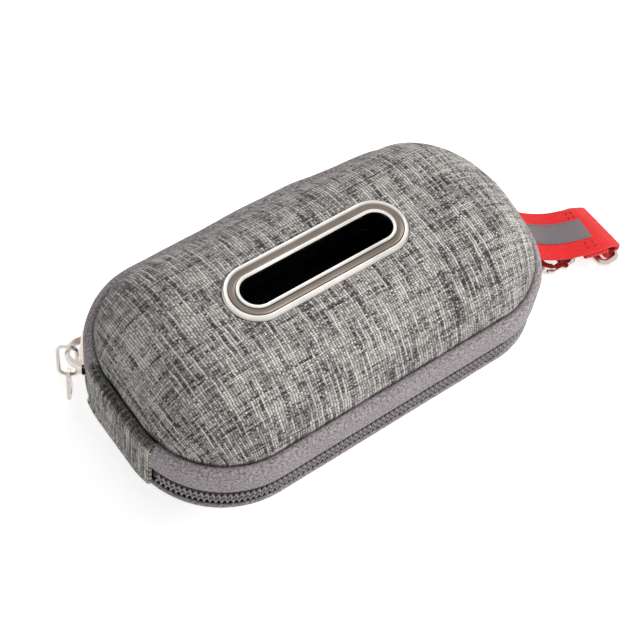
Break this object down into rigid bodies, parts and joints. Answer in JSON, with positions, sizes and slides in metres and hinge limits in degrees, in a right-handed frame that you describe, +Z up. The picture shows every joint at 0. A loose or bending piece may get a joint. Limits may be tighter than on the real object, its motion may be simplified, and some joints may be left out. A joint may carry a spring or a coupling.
{
  "type": "waste bag dispenser case",
  "caption": "Zipped oblong fabric case with a domed lid, metal-rimmed dispensing slot, corner zip slider, webbing strap with snap hook and a ringed tab.",
  "frame": {"origin": "centre of the flat underside of the base", "axes": "+Z up, +X along the length towards the strap end, +Y towards the back"},
  "size_m": [0.1469, 0.0604, 0.05],
  "materials": {
    "woven_grey": "heathered grey canvas",
    "foam": "moulded closed-cell foam",
    "lining": "thin black lining cloth",
    "binding": "ribbed binding tape",
    "band_cloth": "smooth grey twill",
    "zip_tape": "herringbone tape",
    "coil": "nylon monofilament",
    "nickel": "warm polished nickel plate",
    "backing": "plain pressed sheet",
    "webbing_red": "ribbed woven webbing",
    "reflective": "grey retroreflective tape",
    "steel": "riveted pin",
    "bag_film": "thin black film wound on itself",
    "card": "kraft cardboard"
  },
  "bodies": {
    "base": {"base_cover": "woven_grey", "base_shell": "foam", "base_lining": "lining", "base_binding": "binding", "base_band": "band_cloth", "base_zip_tape": "zip_tape", "base_zip_coil": "coil", "hinge_gusset": "woven_grey", "ring_tab": "webbing_red", "strap_webbing": "webbing_red", "reflective_stripe": "reflective", "swivel_eye": "nickel"},
    "lid": {"lid_cover": "woven_grey", "lid_shell": "foam", "lid_lining": "lining", "lid_binding": "binding", "lid_band": "band_cloth", "lid_zip_tape": "zip_tape", "lid_zip_coil": "coil", "slot_rim": "nickel", "rim_backing_plate": "backing"},
    "slider": {"slider_body": "nickel", "slider_crown": "nickel"},
    "link": {"pull_link": "nickel"},
    "leaf": {"pull_leaf": "nickel"},
    "ring": {"tab_ring": "nickel"},
    "hook": {"hook_body": "nickel", "gate_pin": "steel"},
    "gate": {"hook_gate": "nickel"},
    "roll": {"bag_roll": "bag_film", "roll_core": "card"}
  },
  "joints": [
    {"name": "lid_hinge", "type": "hinge", "parent": "base", "child": "lid", "pos_m": [-0.0555, 0, 0.0215], "axis": [0, -1, 0], "range_deg": [0, 100], "deforming": ["hinge_gusset", "lid_zip_coil"]},
    {"name": "slider_travel", "type": "hinge", "parent": "base", "child": "slider", "pos_m": [-0.0318, 0.00705, 0.0215], "axis": [0, 0, -1], "range_deg": [0, 40]},
    {"name": "link_swing", "type": "hinge", "parent": "slider", "child": "link", "pos_m": [-0.05303, 0.02414, 0.0215], "axis": [0.6157, 0.788, 0], "range_deg": [0, 100]},
    {"name": "leaf_swing", "type": "hinge", "parent": "link", "child": "leaf", "pos_m": [-0.05303, 0.02414, 0.0115], "axis": [-0.788, 0.6157, 0], "range_deg": [-35, 35]},
    {"name": "ring_swing", "type": "hinge", "parent": "base", "child": "ring", "pos_m": [0.0585, -0.0015, 0.0028], "axis": [0, -1, 0], "range_deg": [0, 60]},
    {"name": "hook_swivel", "type": "hinge", "parent": "base", "child": "hook", "pos_m": [0.0826, -0.0086, 0.0028], "axis": [1, 0, 0], "continuous": true},
    {"name": "gate_swing", "type": "hinge", "parent": "hook", "child": "gate", "pos_m": [0.0779, -0.0117, 0.0028], "axis": [0, 0, -1], "range_deg": [0, 22], "stiffness_Nm_per_rad": 0.0004, "springref_deg": -11.46},
    {"name": "roll_spin", "type": "hinge", "parent": "base", "child": "roll", "pos_m": [0, 0, 0.02], "axis": [1, 0, 0], "continuous": true}
  ]
}
